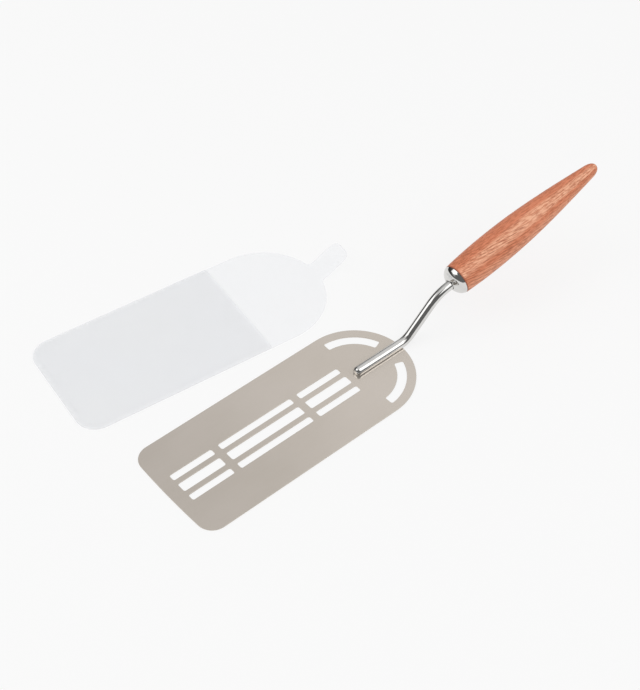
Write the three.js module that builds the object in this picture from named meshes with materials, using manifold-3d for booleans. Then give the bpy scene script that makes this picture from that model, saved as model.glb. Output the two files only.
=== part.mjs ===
// Slotted spatula: a flat steel blade, a cranked rod, a ferrule, a turned wooden handle, and a soft
// plastic sleeve for the blade, which lies beside it.
// Millimetres, +Z up. The origin is the centre of the blade's round rear, on its underside, and +X
// runs along the blade towards the handle.
import * as THREE from 'three';
import { mergeVertices } from 'three/addons/utils/BufferGeometryUtils.js';
import Module from 'manifold-3d';

// Blade
const BLADE_WIDTH = 76;
const BLADE_STRAIGHT = 144.5; // front edge to the centre of the round rear
const BLADE_THICKNESS = 0.6;
const BLADE_FRONT_CORNER = 11;
const BLADE_FRONT_BOW = 0.6; // how far the front edge stands out at its middle

// Drain slots: a middle row and two side rows, each broken by two bridges
const SLOT_FRONT_MARGIN = 9.3;
const SLOT_REAR_MARGIN = 5.5; // last slot to the centre of the round rear
const FRONT_SLOT_LENGTH = 30.8;
const REAR_SLOT_LENGTH = 32.9;
const SLOT_BRIDGE = 5;
const MIDDLE_SLOT_WIDTH = 6.8;
const SIDE_SLOT_WIDTH = 4.7;
const SLOT_LAND = 3.55; // steel between two rows
const SLOT_CORNER = 1.2;

// Curved slots beside the rod, concentric with the round rear
const CURVED_SLOT_RIM = 5.8; // steel left outside the slot
const CURVED_SLOT_WIDTH = 6;
const CURVED_SLOT_START = 19.5; // degrees from the rod's line
const CURVED_SLOT_END = 87;

// Rod: lies on the blade, rises behind it and runs on as the handle's tang
const ROD_DIAMETER = 6.35;
const ROD_LAP = 38; // length that lies on the blade
const ROD_END_ROUND = 2.5; // rounding of the front end's rim
const ROD_SEAT = 1.65; // depth of the flat that is welded to the blade
const ROD_OVERHANG = 4.85; // rear edge of the blade to the lower corner
const ROD_RISE = 34.6; // lower corner to upper corner
const ROD_RISE_ANGLE = 43;
const LOWER_BEND_RADIUS = 13;
const UPPER_BEND_RADIUS = 27;
const ROD_NECK = 17.1; // upper corner to the handle's shoulder
const TANG_LENGTH = 45; // length inside the wood

// Ferrule and handle, on one axis
const HANDLE_TILT = 11.1;
const SHOULDER_RADIUS = 10.2; // where wood and ferrule meet flush
const FERRULE_LENGTH = 6;
const FERRULE_FRONT_SLOPE = 67; // degrees from the axis, at the rod
const FERRULE_REAR_SLOPE = 26; // at the wood
const FERRULE_FRONT_PULL = 0.4; // how far the front slope holds, as a share of the length
const FERRULE_REAR_PULL = 0.27;
const FERRULE_RIM = 2.6; // rear edge round the tenon
const TENON_LENGTH = 2;
const HANDLE_LENGTH = 127.5;
const BELLY_RADIUS = 11.45;
const BELLY_PLACE = 31.2; // shoulder to the thickest place
const TIP_RADIUS = 4.7;
const TIP_LENGTH = 6.8; // rounded end
const TIP_SLOPE = 0.121; // taper where the rounded end starts
const BELLY_PULL = 0.28; // fullness of the taper behind the belly
const TAPER_PULL = 0.5; // fullness of the taper before the tip
const TIP_PULL = 0.6; // bluntness of the tip
const FIT_GAP = 0.25; // glue line and running clearance

// Sleeve: a back sheet with a pull tab, and a pocket sheet sealed along its edges
const SLEEVE_SIDE_MARGIN = 4; // beyond the blade's edge
const SLEEVE_FRONT_MARGIN = 5.2;
const SLEEVE_FRONT_CORNER = 14;
const SHEET_THICKNESS = 0.5;
const POCKET_DEPTH = 131;
const POCKET_CLEARANCE = 0.5; // room over the blade
const POCKET_SIDE_ROOM = 0.3; // between the blade's edge and the pocket's slope
const SEAM_WIDTH = 2.4;
const TAB_WIDTH = 17;
const TAB_END_CORNER = 6;
const TAB_ROOT_FILLET = 3;
const TAB_LENGTH = 25.5; // along the strip, from the start of its bend
const TAB_LIFT = 30;
const TAB_BEND_RADIUS = 12;
const TAB_BEND_START = 1.5; // inside the round rear
const SLEEVE_GAP = 10.5; // between blade and sleeve, where their round rears are
const SLEEVE_SHIFT = -0.9;
const SLEEVE_TURN = -7.3;

// Facets
const ROUND_SIDES = 48;
const ROD_SIDES = 20;
const ROD_STEPS = 64;
const OUTLINE_STEPS = 20;
const CURVE_STEPS = 10;
const SLOT_CORNER_STEPS = 2;
const CURVED_SLOT_STEPS = 7;

const wasm = await Module();
wasm.setup();

const radians = THREE.MathUtils.degToRad;
const rodRadius = ROD_DIAMETER / 2;
const bladeRear = BLADE_WIDTH / 2;
const rodHeight = BLADE_THICKNESS + rodRadius - ROD_SEAT;

const bladeSteel = new THREE.MeshStandardMaterial({ color: 0xbcb4ab, roughness: 0.35, metalness: 1 });
const polishedSteel = new THREE.MeshStandardMaterial({ color: 0xd8d8d6, roughness: 0.08, metalness: 1 });
const wood = new THREE.MeshStandardMaterial({ color: 0xb9704f, roughness: 0.5, metalness: 0 });
const frostedPlastic = new THREE.MeshStandardMaterial({
  color: 0xeceef0, roughness: 0.45, metalness: 0, transparent: true, opacity: 0.6,
});

// A closed geometry as a solid that can be joined and cut.
function solidOf(geometry) {
  const bare = geometry.clone();
  bare.deleteAttribute('normal');
  bare.deleteAttribute('uv');
  const merged = mergeVertices(bare);
  return new wasm.Manifold(new wasm.Mesh({
    numProp: 3,
    vertProperties: merged.attributes.position.array,
    triVerts: Uint32Array.from(merged.index.array),
  }));
}

function geometryOf(solid) {
  const { vertProperties, triVerts } = solid.getMesh();
  const geometry = new THREE.BufferGeometry();
  geometry.setAttribute('position', new THREE.BufferAttribute(vertProperties, 3));
  geometry.setIndex(new THREE.BufferAttribute(triVerts, 1));
  geometry.computeVertexNormals();
  return geometry;
}

function plate(outline, bottom, top) {
  const geometry = new THREE.ExtrudeGeometry(outline, { depth: top - bottom, bevelEnabled: false });
  return geometry.translate(0, 0, bottom);
}

function block(low, high) {
  const size = new THREE.Vector3().subVectors(high, low);
  const middle = new THREE.Vector3().addVectors(low, high).multiplyScalar(0.5);
  return new THREE.BoxGeometry(size.x, size.y, size.z).translate(middle.x, middle.y, middle.z);
}

function named(name, geometry, material) {
  const mesh = new THREE.Mesh(geometry, material);
  mesh.name = name;
  return mesh;
}

// Outline with a slightly bowed front, round front corners and a half-round rear about the origin.
function roundRearOutline(width, straight, corner, bow) {
  const half = width / 2;
  const edge = bow - straight; // where the bowed front meets its corners
  const path = new THREE.Path();
  path.moveTo(edge + corner, -half);
  path.lineTo(0, -half);
  path.absarc(0, 0, half, -Math.PI / 2, Math.PI / 2);
  path.lineTo(edge + corner, half);
  path.absarc(edge + corner, half - corner, corner, Math.PI / 2, Math.PI);
  path.quadraticCurveTo(-straight - bow, 0, edge, corner - half);
  path.absarc(edge + corner, corner - half, corner, Math.PI, 1.5 * Math.PI);
  return new THREE.Shape(path.getPoints(OUTLINE_STEPS));
}

// Rectangular slot with round corners, from one x to another, about the line y = middle.
function straightSlot(from, to, middle, width) {
  const low = middle - width / 2 + SLOT_CORNER;
  const high = middle + width / 2 - SLOT_CORNER;
  const path = new THREE.Path();
  path.absarc(to - SLOT_CORNER, low, SLOT_CORNER, -Math.PI / 2, 0);
  path.absarc(to - SLOT_CORNER, high, SLOT_CORNER, 0, Math.PI / 2);
  path.absarc(from + SLOT_CORNER, high, SLOT_CORNER, Math.PI / 2, Math.PI);
  path.absarc(from + SLOT_CORNER, low, SLOT_CORNER, Math.PI, 1.5 * Math.PI);
  return new THREE.Path(path.getPoints(SLOT_CORNER_STEPS));
}

function straightSlots() {
  const front = SLOT_FRONT_MARGIN - BLADE_STRAIGHT;
  const rear = -SLOT_REAR_MARGIN;
  const columns = [
    [front, front + FRONT_SLOT_LENGTH],
    [front + FRONT_SLOT_LENGTH + SLOT_BRIDGE, rear - REAR_SLOT_LENGTH - SLOT_BRIDGE],
    [rear - REAR_SLOT_LENGTH, rear],
  ];
  const sideRow = (MIDDLE_SLOT_WIDTH + SIDE_SLOT_WIDTH) / 2 + SLOT_LAND;
  return columns.flatMap(([from, to]) => [
    straightSlot(from, to, 0, MIDDLE_SLOT_WIDTH),
    straightSlot(from, to, sideRow, SIDE_SLOT_WIDTH),
    straightSlot(from, to, -sideRow, SIDE_SLOT_WIDTH),
  ]);
}

// Slot along an arc about the origin, between two angles, with round corners.
function curvedSlot(start, end) {
  const outer = bladeRear - CURVED_SLOT_RIM;
  const inner = outer - CURVED_SLOT_WIDTH;
  const outerTurn = Math.asin(SLOT_CORNER / (outer - SLOT_CORNER));
  const innerTurn = Math.asin(SLOT_CORNER / (inner + SLOT_CORNER));
  const path = new THREE.Path();
  const corner = (radius, place, from, to) => {
    path.absarc(radius * Math.cos(place), radius * Math.sin(place), SLOT_CORNER, from, to);
  };
  path.absarc(0, 0, outer, start + outerTurn, end - outerTurn);
  corner(outer - SLOT_CORNER, end - outerTurn, end - outerTurn, end + Math.PI / 2);
  corner(inner + SLOT_CORNER, end - innerTurn, end + Math.PI / 2, end - innerTurn + Math.PI);
  path.absarc(0, 0, inner, end - innerTurn, start + innerTurn, true);
  corner(inner + SLOT_CORNER, start + innerTurn, start + innerTurn + Math.PI, start + 1.5 * Math.PI);
  corner(outer - SLOT_CORNER, start + outerTurn, start - Math.PI / 2, start + outerTurn);
  return new THREE.Path(path.getPoints(CURVED_SLOT_STEPS));
}

function bladeGeometry() {
  const outline = roundRearOutline(BLADE_WIDTH, BLADE_STRAIGHT, BLADE_FRONT_CORNER, BLADE_FRONT_BOW);
  const start = radians(CURVED_SLOT_START);
  const end = radians(CURVED_SLOT_END);
  outline.holes = [...straightSlots(), curvedSlot(start, end), curvedSlot(-end, -start)];
  return plate(outline, 0, BLADE_THICKNESS);
}

// A point past another, along a direction in the plane y = 0 that climbs by the angle.
function along(from, distance, angle) {
  return new THREE.Vector3(distance * Math.cos(angle), 0, distance * Math.sin(angle)).add(from);
}

const rise = radians(ROD_RISE_ANGLE);
const tilt = radians(HANDLE_TILT);
const rodFront = new THREE.Vector3(bladeRear - ROD_LAP, 0, rodHeight);
const lowerCorner = new THREE.Vector3(bladeRear + ROD_OVERHANG, 0, rodHeight);
const upperCorner = along(lowerCorner, ROD_RISE, rise);
const shoulder = along(upperCorner, ROD_NECK, tilt);
const tangEnd = along(shoulder, TANG_LENGTH, tilt);

// Centre line of the rod: three straights joined by two bends.
function rodRoute() {
  const lowerReach = LOWER_BEND_RADIUS * Math.tan(rise / 2);
  const upperReach = UPPER_BEND_RADIUS * Math.tan((rise - tilt) / 2);
  const lowerStart = along(lowerCorner, -lowerReach, 0);
  const lowerEnd = along(lowerCorner, lowerReach, rise);
  const upperStart = along(upperCorner, -upperReach, rise);
  const upperEnd = along(upperCorner, upperReach, tilt);
  const route = new THREE.CurvePath();
  route.add(new THREE.LineCurve3(rodFront, lowerStart));
  route.add(new THREE.QuadraticBezierCurve3(lowerStart, lowerCorner, lowerEnd));
  route.add(new THREE.LineCurve3(lowerEnd, upperStart));
  route.add(new THREE.QuadraticBezierCurve3(upperStart, upperCorner, upperEnd));
  route.add(new THREE.LineCurve3(upperEnd, tangEnd));
  return route;
}

function shankGeometry() {
  const section = new THREE.Path().absarc(0, 0, rodRadius, 0, 2 * Math.PI);
  const rod = new THREE.ExtrudeGeometry(new THREE.Shape(section.getPoints(ROD_SIDES / 2)), {
    steps: ROD_STEPS, extrudePath: rodRoute(),
  });
  const reach = ROD_DIAMETER;
  const underBlade = block(
    new THREE.Vector3(rodFront.x - reach, -reach, -reach),
    new THREE.Vector3(lowerCorner.x + reach, reach, BLADE_THICKNESS),
  );
  const flatRadius = rodRadius - ROD_END_ROUND; // what stays flat of the front end
  const ring = new THREE.Path();
  ring.moveTo(flatRadius, -reach);
  ring.lineTo(reach, -reach);
  ring.lineTo(reach, ROD_END_ROUND);
  ring.absarc(flatRadius, ROD_END_ROUND, ROD_END_ROUND, 0, -Math.PI / 2, true);
  ring.lineTo(flatRadius, -reach);
  const roundEnd = new THREE.LatheGeometry(ring.getPoints(CURVE_STEPS / 2), ROUND_SIDES);
  roundEnd.rotateZ(-Math.PI / 2).translate(rodFront.x, rodFront.y, rodFront.z);
  return geometryOf(solidOf(rod).subtract(solidOf(underBlade)).subtract(solidOf(roundEnd)));
}

// Turned pieces stand on the handle's axis as +Y, from the shoulder at 0 towards the tip.
const cupRadius = SHOULDER_RADIUS - FERRULE_RIM;
const boreRadius = rodRadius + FIT_GAP;

// Bell round the rod, hollowed behind for the tenon.
function ferruleGeometry() {
  const frontPull = FERRULE_FRONT_PULL * FERRULE_LENGTH;
  const rearPull = FERRULE_REAR_PULL * FERRULE_LENGTH;
  const path = new THREE.Path();
  path.moveTo(boreRadius, -FERRULE_LENGTH);
  path.bezierCurveTo(
    boreRadius + frontPull * Math.tan(radians(FERRULE_FRONT_SLOPE)), frontPull - FERRULE_LENGTH,
    SHOULDER_RADIUS - rearPull * Math.tan(radians(FERRULE_REAR_SLOPE)), -FIT_GAP - rearPull,
    SHOULDER_RADIUS, -FIT_GAP,
  );
  path.lineTo(cupRadius, -FIT_GAP);
  path.lineTo(cupRadius, -TENON_LENGTH - FIT_GAP);
  path.lineTo(boreRadius, -TENON_LENGTH - FIT_GAP);
  path.lineTo(boreRadius, -FERRULE_LENGTH);
  return new THREE.LatheGeometry(path.getPoints(CURVE_STEPS), ROUND_SIDES);
}

function handleGeometry() {
  const tipStart = HANDLE_LENGTH - TIP_LENGTH;
  const taper = tipStart - BELLY_PLACE;
  const path = new THREE.Path();
  path.moveTo(0, TANG_LENGTH + FIT_GAP);
  path.lineTo(boreRadius, TANG_LENGTH + FIT_GAP);
  path.lineTo(boreRadius, -TENON_LENGTH);
  path.lineTo(cupRadius - FIT_GAP, -TENON_LENGTH);
  path.lineTo(cupRadius - FIT_GAP, 0);
  path.lineTo(SHOULDER_RADIUS, 0);
  path.quadraticCurveTo(BELLY_RADIUS, BELLY_PLACE / 2, BELLY_RADIUS, BELLY_PLACE);
  path.bezierCurveTo(
    BELLY_RADIUS, BELLY_PLACE + BELLY_PULL * taper,
    TIP_RADIUS + TAPER_PULL * taper * TIP_SLOPE, tipStart - TAPER_PULL * taper,
    TIP_RADIUS, tipStart,
  );
  path.bezierCurveTo(
    TIP_RADIUS - (TIP_SLOPE * TIP_LENGTH) / 2, tipStart + TIP_LENGTH / 2,
    TIP_PULL * TIP_RADIUS, HANDLE_LENGTH,
    0, HANDLE_LENGTH,
  );
  return new THREE.LatheGeometry(path.getPoints(CURVE_STEPS), ROUND_SIDES);
}

// The sleeve's own frame: origin at the centre of its round rear, +X towards its tab.
const sleeveWidth = BLADE_WIDTH + 2 * SLEEVE_SIDE_MARGIN;
const sleeveRear = sleeveWidth / 2;
const sleeveFront = -BLADE_STRAIGHT - SLEEVE_FRONT_MARGIN;
const pocketMouth = sleeveFront + POCKET_DEPTH;
const pocketHeight = BLADE_THICKNESS + POCKET_CLEARANCE;
const pocketSlope = SLEEVE_SIDE_MARGIN - SEAM_WIDTH - POCKET_SIDE_ROOM;

// Bent strip for the tab, cut to its outline as seen from above.
function tabSolid() {
  const start = sleeveRear - TAB_BEND_START;
  const lift = radians(TAB_LIFT);
  const centre = TAB_BEND_RADIUS + SHEET_THICKNESS; // of the bend, above the underside
  const straight = TAB_LENGTH - lift * TAB_BEND_RADIUS;
  const endAt = (radius) => [
    start + radius * Math.sin(lift) + straight * Math.cos(lift),
    centre - radius * Math.cos(lift) + straight * Math.sin(lift),
  ];
  const side = new THREE.Path();
  side.absarc(start, centre, centre, -Math.PI / 2, lift - Math.PI / 2);
  side.lineTo(...endAt(centre));
  side.lineTo(...endAt(TAB_BEND_RADIUS));
  side.absarc(start, centre, TAB_BEND_RADIUS, lift - Math.PI / 2, -Math.PI / 2, true);
  const stripWidth = TAB_WIDTH + 2 * TAB_ROOT_FILLET;
  const strip = new THREE.ExtrudeGeometry(new THREE.Shape(side.getPoints(CURVE_STEPS / 2)), {
    depth: stripWidth, bevelEnabled: false,
  });
  strip.rotateX(Math.PI / 2).translate(0, stripWidth / 2, 0);

  const half = TAB_WIDTH / 2;
  const foot = half + TAB_ROOT_FILLET;
  const edge = Math.sqrt(sleeveRear ** 2 - half ** 2);
  const footEdge = Math.sqrt(sleeveRear ** 2 - foot ** 2);
  const [reach] = endAt(centre);
  const outline = new THREE.Path();
  outline.moveTo(0, -foot);
  outline.lineTo(footEdge, -foot);
  outline.quadraticCurveTo(edge, -half, edge + TAB_ROOT_FILLET, -half);
  outline.lineTo(reach - TAB_END_CORNER, -half);
  outline.quadraticCurveTo(reach, -half, reach, TAB_END_CORNER - half);
  outline.lineTo(reach, half - TAB_END_CORNER);
  outline.quadraticCurveTo(reach, half, reach - TAB_END_CORNER, half);
  outline.lineTo(edge + TAB_ROOT_FILLET, half);
  outline.quadraticCurveTo(edge, half, footEdge, foot);
  outline.lineTo(0, foot);
  const column = plate(new THREE.Shape(outline.getPoints(CURVE_STEPS / 2)), -centre, 2 * centre);
  return solidOf(strip).intersect(solidOf(column));
}

function sleeveBackGeometry() {
  const outline = roundRearOutline(sleeveWidth, -sleeveFront, SLEEVE_FRONT_CORNER, 0);
  return geometryOf(solidOf(plate(outline, 0, SHEET_THICKNESS)).add(tabSolid()));
}

// Outline of the pocket, drawn in by a margin along its three sealed edges and open at the rear end.
function pocketOutline(margin, rear) {
  const half = sleeveWidth / 2 - margin;
  const front = sleeveFront + margin;
  const corner = SLEEVE_FRONT_CORNER - margin;
  const path = new THREE.Path();
  path.moveTo(front + corner, -half);
  path.lineTo(rear, -half);
  path.lineTo(rear, half);
  path.lineTo(front + corner, half);
  path.absarc(front + corner, half - corner, corner, Math.PI / 2, Math.PI);
  path.absarc(front + corner, corner - half, corner, Math.PI, 1.5 * Math.PI);
  return new THREE.Shape(path.getPoints(CURVE_STEPS / 2));
}

// Sheet that lies flat along the seam and rises by a slope to clear the blade.
function sleevePocketGeometry() {
  const low = SHEET_THICKNESS;
  const seamTop = 2 * SHEET_THICKNESS;
  const top = seamTop + pocketHeight;
  const flat = solidOf(plate(pocketOutline(0, pocketMouth), low, seamTop));
  const column = solidOf(plate(pocketOutline(0, pocketMouth), low, top + SHEET_THICKNESS));
  const raised = new THREE.ExtrudeGeometry(pocketOutline(SEAM_WIDTH + pocketSlope, sleeveRear), {
    depth: top, bevelThickness: pocketHeight, bevelSize: pocketSlope, bevelSegments: 1,
  });
  raised.translate(0, 0, seamTop - top);
  const under = raised.clone().translate(0, 0, -SHEET_THICKNESS);
  return geometryOf(flat.add(solidOf(raised)).intersect(column).subtract(solidOf(under)));
}

const grip = new THREE.Group();
grip.position.copy(shoulder);
grip.rotation.set(0, -tilt, -Math.PI / 2);
grip.add(named('ferrule', ferruleGeometry(), polishedSteel));
grip.add(named('handle', handleGeometry(), wood));

const sleeve = new THREE.Group();
sleeve.position.set(SLEEVE_SHIFT, BLADE_WIDTH / 2 + SLEEVE_GAP + sleeveRear, 0);
sleeve.rotation.z = radians(SLEEVE_TURN);
sleeve.add(named('sleeve_back', sleeveBackGeometry(), frostedPlastic));
sleeve.add(named('sleeve_pocket', sleevePocketGeometry(), frostedPlastic));

const spatula = new THREE.Group();
spatula.add(named('blade', bladeGeometry(), bladeSteel));
spatula.add(named('shank', shankGeometry(), polishedSteel));
spatula.add(grip, sleeve);

export default spatula;
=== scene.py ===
"""Slotted spatula and the sleeve for its blade, dressed and lit for a studio picture.

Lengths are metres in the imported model's frame: the origin is the centre of the blade's round rear, on
its underside, +X runs along the blade towards the handle and +Z is up. Angles are in degrees, apart from
the handle's tilt, which is in radians once main has read it.
"""
import logging
import math
from dataclasses import dataclass
from enum import Enum
from typing import Any, Dict, List, Optional, Sequence, Tuple, Union

import bmesh
import bpy
from mathutils import Matrix, Vector


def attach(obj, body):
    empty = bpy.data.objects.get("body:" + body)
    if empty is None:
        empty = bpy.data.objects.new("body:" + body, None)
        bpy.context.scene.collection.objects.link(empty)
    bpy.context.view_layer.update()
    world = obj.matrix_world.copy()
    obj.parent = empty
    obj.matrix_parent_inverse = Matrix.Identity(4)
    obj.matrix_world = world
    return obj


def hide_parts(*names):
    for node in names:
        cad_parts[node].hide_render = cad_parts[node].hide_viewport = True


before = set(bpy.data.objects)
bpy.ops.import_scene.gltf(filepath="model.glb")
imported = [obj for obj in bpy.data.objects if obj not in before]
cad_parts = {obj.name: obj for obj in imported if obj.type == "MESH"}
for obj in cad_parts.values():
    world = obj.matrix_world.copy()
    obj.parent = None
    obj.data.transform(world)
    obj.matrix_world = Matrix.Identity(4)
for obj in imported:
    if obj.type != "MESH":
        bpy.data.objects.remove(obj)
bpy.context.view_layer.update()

LOG = logging.getLogger("spatula")
MM = 0.001
IMAGE_SIZE = (640, 690)
SENSOR = 36.0  # millimetres, as the camera counts its lens
HANDLE_TILT = 11.1
WELD = 0.002 * MM  # points closer than this are one
EASE_STEPS = 2  # facets across an eased edge
ALL_SMOOTH = 180.0  # crease angle that leaves no edge sharp
TURNED_CREASE = 34.0
NOISE_MEAN = 0.5
SLOT_COLUMNS = ("Front", "Middle", "Rear")

Colour = Tuple[float, float, float]
Scale = Tuple[float, float, float]
Pair = Tuple[float, float]
Key = Union[int, str]
Settings = Dict[str, Any]
Inputs = Dict[Key, Any]
Rows = List[List[Vector]]


class Body(Enum):
    """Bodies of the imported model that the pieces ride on."""

    SPATULA = "spatula"
    SLEEVE = "sleeve"


class Slot(Enum):
    """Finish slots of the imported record."""

    SATIN_STEEL = "satin_steel"
    POLISHED_STEEL = "polished_steel"
    WOOD = "wood"
    FROSTED_PLASTIC = "frosted_plastic"


class Value:
    """A node's output. An operator on it adds the Math node that works the result out."""

    def __init__(self, graph: "Graph", socket: bpy.types.NodeSocket) -> None:
        """Keeps the output and the graph that it belongs to."""
        self.graph = graph
        self.socket = socket

    def __add__(self, other: "Operand") -> "Value":
        """Adds a value or number."""
        return self.graph.math("ADD", self, other)

    def __sub__(self, other: "Operand") -> "Value":
        """Takes a value or number away."""
        return self.graph.math("SUBTRACT", self, other)

    def __rsub__(self, other: "Operand") -> "Value":
        """Takes this away from a number."""
        return self.graph.math("SUBTRACT", other, self)

    def __mul__(self, other: "Operand") -> "Value":
        """Multiplies by a value or number."""
        return self.graph.math("MULTIPLY", self, other)

    def __truediv__(self, other: "Operand") -> "Value":
        """Divides by a value or number."""
        return self.graph.math("DIVIDE", self, other)

    def __rtruediv__(self, other: "Operand") -> "Value":
        """Divides a number by this."""
        return self.graph.math("DIVIDE", other, self)

    def __mod__(self, other: "Operand") -> "Value":
        """Remainder after a division."""
        return self.graph.math("MODULO", self, other)

    __radd__ = __add__
    __rmul__ = __mul__


Operand = Union[Value, float]


class Placed:
    """A node that stands in a graph."""

    def __init__(self, graph: "Graph", node: bpy.types.Node) -> None:
        """Keeps the node and its graph."""
        self.graph = graph
        self.node = node

    def out(self, key: Key = 0) -> Value:
        """One of the node's outputs, by name or number."""
        return Value(self.graph, self.node.outputs[key])


class Graph:
    """Adds nodes and links to one node tree."""

    def __init__(self, tree: bpy.types.NodeTree) -> None:
        """Keeps the tree that is filled."""
        self.tree = tree

    def add(
        self, kind: str, settings: Optional[Settings] = None, inputs: Optional[Inputs] = None
    ) -> Placed:
        """Adds a node.

        Args:
            kind: The node's type name.
            settings: Its properties, which are set first.
            inputs: Values, links or lists of links for its sockets, by name or number.

        Returns:
            The node.
        """
        node = self.tree.nodes.new(kind)
        for name, setting in (settings or {}).items():
            setattr(node, name, setting)
        for key, value in (inputs or {}).items():
            self.feed(node.inputs[key], value)
        return Placed(self, node)

    def feed(self, socket: bpy.types.NodeSocket, value: Any) -> None:
        """Fills one input.

        Args:
            socket: The input.
            value: A value or a list of values to link, or a number, colour or vector to set.
        """
        if isinstance(value, Value):
            self.tree.links.new(value.socket, socket)
        elif isinstance(value, list):
            for item in value:
                self.tree.links.new(item.socket, socket)
        elif socket.type == "RGBA" and len(value) == 3:
            socket.default_value = (*value, 1.0)
        else:
            socket.default_value = value

    def math(self, operation: str, *terms: Operand) -> Value:
        """Adds one Math node.

        Args:
            operation: The node's operation.
            terms: Its inputs, in order.

        Returns:
            The result.
        """
        return self.add("ShaderNodeMath", {"operation": operation}, dict(enumerate(terms))).out()

    def mix(self, share: Operand, first: Any, second: Any) -> Value:
        """Mixes two colours.

        Args:
            share: How much of the second colour there is, from 0 to 1.
            first: Colour or link at 0.
            second: Colour or link at 1.

        Returns:
            The mixed colour.
        """
        settings = {"data_type": "RGBA", "clamp_factor": True}
        # The node's colour sockets come after those for numbers and vectors.
        return self.add("ShaderNodeMix", settings, {0: share, 6: first, 7: second}).out(2)

    def ease(self, value: Value, low: float, high: float) -> Value:
        """A soft step from 0 at low to 1 at high."""
        inputs = {"Value": value, "From Min": low, "From Max": high}
        return self.add("ShaderNodeMapRange", {"interpolation_type": "SMOOTHSTEP"}, inputs).out()

    def parts(self, vector: Value) -> Tuple[Value, Value, Value]:
        """The three numbers of a vector."""
        split = self.add("ShaderNodeSeparateXYZ", inputs={0: vector})
        return split.out(0), split.out(1), split.out(2)

    def joined(self, x: Operand, y: Operand, z: Operand) -> Value:
        """A vector of three numbers."""
        return self.add("ShaderNodeCombineXYZ", inputs={0: x, 1: y, 2: z}).out()

    def noise(self, place: Value, scale: Scale, detail: float = 2.0, rough: float = 0.5) -> Value:
        """Cloudy noise.

        Args:
            place: Coordinates in metres.
            scale: How many cells of it fit in a metre, along each axis.
            detail: Number of finer layers.
            rough: How strong the finer layers are.

        Returns:
            A value between 0 and 1, about NOISE_MEAN.
        """
        spread = self.add("ShaderNodeMapping", inputs={"Vector": place, "Scale": scale}).out()
        inputs = {"Vector": spread, "Scale": 1.0, "Detail": detail, "Roughness": rough}
        return self.add("ShaderNodeTexNoise", inputs=inputs).out(0)


class ShapeTree:
    """A Geometry Nodes tree with named inputs, which is run to give a plain mesh."""

    def __init__(self, name: str) -> None:
        """Starts the tree with the source geometry as its first input.

        Args:
            name: The tree's name.
        """
        self.tree = bpy.data.node_groups.new(name, "GeometryNodeTree")
        self.graph = Graph(self.tree)
        self.keys: Dict[str, str] = {}
        self.entry = self.graph.add("NodeGroupInput")
        self.source = self.input("Source", "NodeSocketGeometry")

    def input(self, name: str, kind: str = "NodeSocketFloat") -> Value:
        """Adds a named input.

        Args:
            name: What the input is called.
            kind: The type of its socket.

        Returns:
            The input's value inside the tree.
        """
        item = self.tree.interface.new_socket(name, in_out="INPUT", socket_type=kind)
        self.keys[name] = item.identifier
        return self.entry.out(name)

    def position(self) -> Value:
        """Where each point lies."""
        return self.graph.add("GeometryNodeInputPosition").out()

    def place(self, shape: Value, position: Value) -> Value:
        """Moves a geometry's points to the given positions."""
        return self.graph.add(
            "GeometryNodeSetPosition", inputs={"Geometry": shape, "Position": position}
        ).out()

    def weld(self, shape: Value) -> Value:
        """Joins points that lie on each other."""
        return self.graph.add(
            "GeometryNodeMergeByDistance", inputs={"Geometry": shape, "Distance": WELD}
        ).out()

    def close(self, shape: Value) -> None:
        """Ends the tree: instances made real, in the finish that is given to it.

        Args:
            shape: The finished geometry.
        """
        finish = self.input("Finish", "NodeSocketMaterial")
        self.tree.interface.new_socket("Shape", in_out="OUTPUT", socket_type="NodeSocketGeometry")
        real = self.graph.add("GeometryNodeRealizeInstances", inputs={0: shape}).out()
        dressed = self.graph.add(
            "GeometryNodeSetMaterial", inputs={"Geometry": real, "Material": finish}
        ).out()
        self.graph.add("NodeGroupOutput", inputs={0: dressed})

    def run(self, source: bpy.types.Mesh, values: Settings) -> bpy.types.Mesh:
        """Runs the tree on a mesh.

        Args:
            source: The mesh that the tree starts from.
            values: A value for each named input.

        Returns:
            The result as a plain mesh.
        """
        holder = bpy.data.objects.new(self.tree.name, source)
        bpy.context.scene.collection.objects.link(holder)
        modifier = holder.modifiers.new(self.tree.name, "NODES")
        modifier.node_group = self.tree
        for name, value in values.items():
            modifier[self.keys[name]] = value
        return plain_mesh(holder)


def plain_mesh(holder: bpy.types.Object) -> bpy.types.Mesh:
    """Turns an object with modifiers into a mesh without them.

    Args:
        holder: The object, which is removed.

    Returns:
        Its evaluated mesh.
    """
    depsgraph = bpy.context.evaluated_depsgraph_get()
    mesh = bpy.data.meshes.new_from_object(holder.evaluated_get(depsgraph))
    holder.modifiers.clear()
    source = holder.data
    bpy.data.objects.remove(holder)
    bpy.data.meshes.remove(source)
    return mesh


def modified(mesh: bpy.types.Mesh, kind: str, **settings: Any) -> bpy.types.Mesh:
    """Applies one modifier to a mesh.

    Args:
        mesh: The mesh, which is used up.
        kind: The modifier's type.
        settings: Its properties.

    Returns:
        The new mesh.
    """
    holder = bpy.data.objects.new(kind.lower(), mesh)
    bpy.context.scene.collection.objects.link(holder)
    modifier = holder.modifiers.new(kind.lower(), kind)
    for name, setting in settings.items():
        setattr(modifier, name, setting)
    return plain_mesh(holder)


def line_mesh(name: str, points: Sequence[Vector], closed: bool = False) -> bpy.types.Mesh:
    """A chain of points and edges.

    Args:
        name: The mesh's name.
        points: The points, in order.
        closed: Whether the last point joins the first.

    Returns:
        The mesh.
    """
    count = len(points)
    edges = [(i, (i + 1) % count) for i in range(count if closed else count - 1)]
    mesh = bpy.data.meshes.new(name)
    mesh.from_pydata(points, edges, [])
    return mesh


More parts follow.
